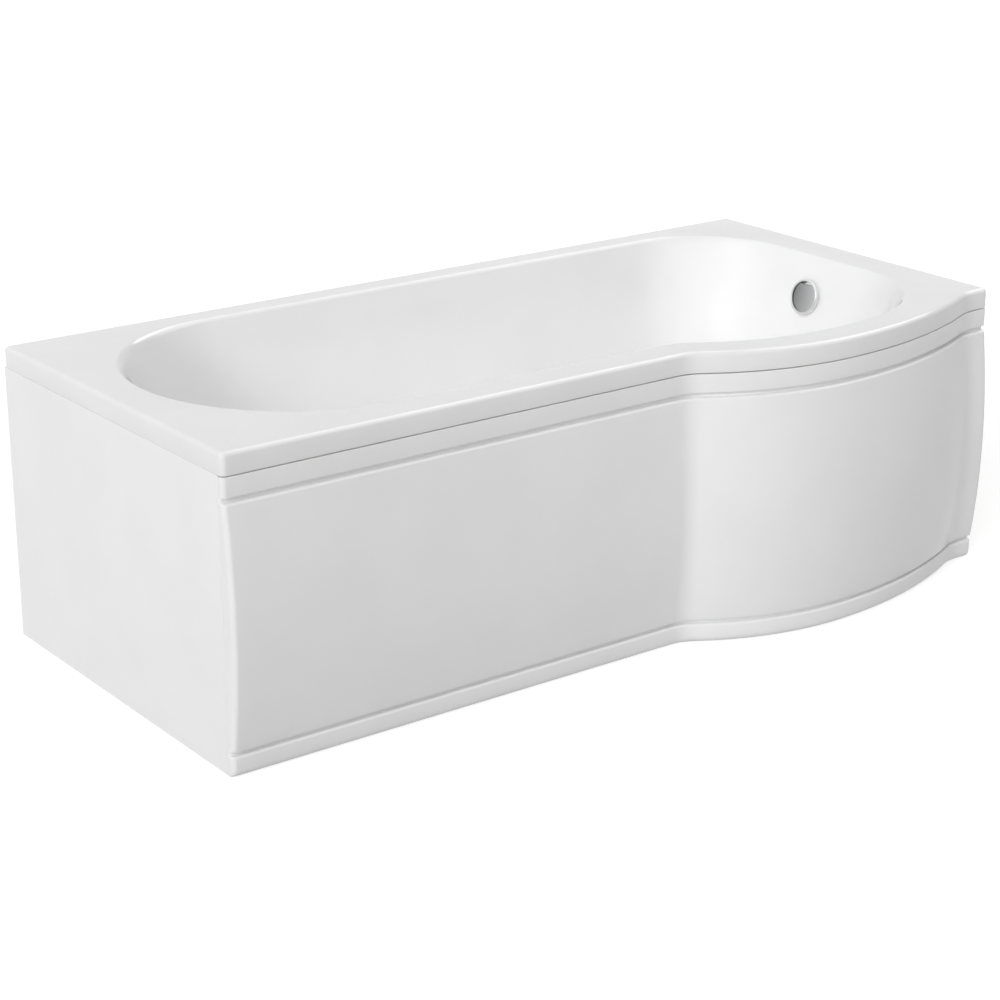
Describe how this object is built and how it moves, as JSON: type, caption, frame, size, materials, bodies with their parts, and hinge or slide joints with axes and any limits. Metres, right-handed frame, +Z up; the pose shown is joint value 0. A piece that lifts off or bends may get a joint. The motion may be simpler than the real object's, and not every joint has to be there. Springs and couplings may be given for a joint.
{
  "type": "shower bath",
  "caption": "P-shaped acrylic shower bath with a bowed front panel, flat end panel, levelling legs, rim battens and a pop-up waste worked by its overflow knob.",
  "frame": {"origin": "on the floor, at the centre of the part's plan", "axes": "+X along the bath towards the tap end, +Y towards the wall, +Z up"},
  "size_m": [1.7, 0.867, 0.55],
  "materials": {
    "acrylic": "glossy white sanitary acrylic",
    "panel_acrylic": "glossy white acrylic sheet",
    "glassfibre": "rough sprayed glass fibre",
    "board": "particle board",
    "timber": "sawn softwood",
    "zinc_steel": "zinc-plated steel",
    "black_plastic": "moulded plastic",
    "white_plastic": "moulded plastic",
    "chrome": "polished chrome",
    "brass": "turned brass",
    "rubber": "soft rubber"
  },
  "bodies": {
    "bath": {"bath_shell": "acrylic", "glassfibre_backing": "glassfibre", "front_panel": "panel_acrylic", "end_panel": "panel_acrylic", "back_batten": "timber", "front_batten": "timber", "head_batten": "timber", "tap_batten": "timber", "bulge_former": "timber", "front_floor_batten": "timber", "end_floor_batten": "timber", "bulge_floor_block": "timber", "base_board": "board", "front_panel_clips": "white_plastic", "end_panel_clips": "white_plastic", "clip_screws": "zinc_steel", "wall_bracket_head": "zinc_steel", "wall_bracket_tap": "zinc_steel", "wall_bracket_screws": "zinc_steel", "head_cradle": "zinc_steel", "tap_cradle": "zinc_steel", "centre_leg_bracket": "zinc_steel", "cradle_screws": "zinc_steel", "leg_nuts": "zinc_steel", "waste_flange": "chrome", "waste_upper_washer": "rubber", "waste_lower_washer": "rubber", "waste_body": "white_plastic", "overflow_plate": "chrome", "overflow_washer": "rubber", "overflow_body": "white_plastic", "overflow_pipe": "white_plastic", "control_cable": "black_plastic", "overflow_pipe_nuts": "white_plastic"},
    "overflow_control": {"overflow_knob": "chrome", "knob_spindle": "brass", "knob_crank": "brass"},
    "pop_up_plug": {"waste_plug": "chrome", "plug_seal": "rubber", "plug_stem": "brass"},
    "leg_head_front": {"leg_rod_head_front": "zinc_steel", "foot_pad_head_front": "black_plastic"},
    "leg_head_back": {"leg_rod_head_back": "zinc_steel", "foot_pad_head_back": "black_plastic"},
    "leg_tap_front": {"leg_rod_tap_front": "zinc_steel", "foot_pad_tap_front": "black_plastic"},
    "leg_tap_back": {"leg_rod_tap_back": "zinc_steel", "foot_pad_tap_back": "black_plastic"},
    "leg_centre": {"leg_rod_centre": "zinc_steel", "foot_pad_centre": "black_plastic"}
  },
  "joints": [
    {"name": "knob_turn", "type": "hinge", "parent": "bath", "child": "overflow_control", "pos_m": [0.74255, 0.063, 0.468], "axis": [-0.9703, 0, 0.2419], "range_deg": [0, 90]},
    {"name": "plug_lift", "type": "slide", "parent": "bath", "child": "pop_up_plug", "axis": [0, 0, 1], "range_m": [0, 0.01]},
    {"name": "head_front_leg_level", "type": "slide", "parent": "bath", "child": "leg_head_front", "axis": [0, 0, -1], "range_m": [-0.01, 0.025]},
    {"name": "head_back_leg_level", "type": "slide", "parent": "bath", "child": "leg_head_back", "axis": [0, 0, -1], "range_m": [-0.01, 0.025]},
    {"name": "tap_front_leg_level", "type": "slide", "parent": "bath", "child": "leg_tap_front", "axis": [0, 0, -1], "range_m": [-0.01, 0.025]},
    {"name": "tap_back_leg_level", "type": "slide", "parent": "bath", "child": "leg_tap_back", "axis": [0, 0, -1], "range_m": [-0.01, 0.025]},
    {"name": "centre_leg_level", "type": "slide", "parent": "bath", "child": "leg_centre", "axis": [0, 0, -1], "range_m": [-0.01, 0.025]}
  ],
  "couplings": [
    {"joint": "plug_lift", "follows": "knob_turn", "m_per_rad": 0.00636}
  ]
}
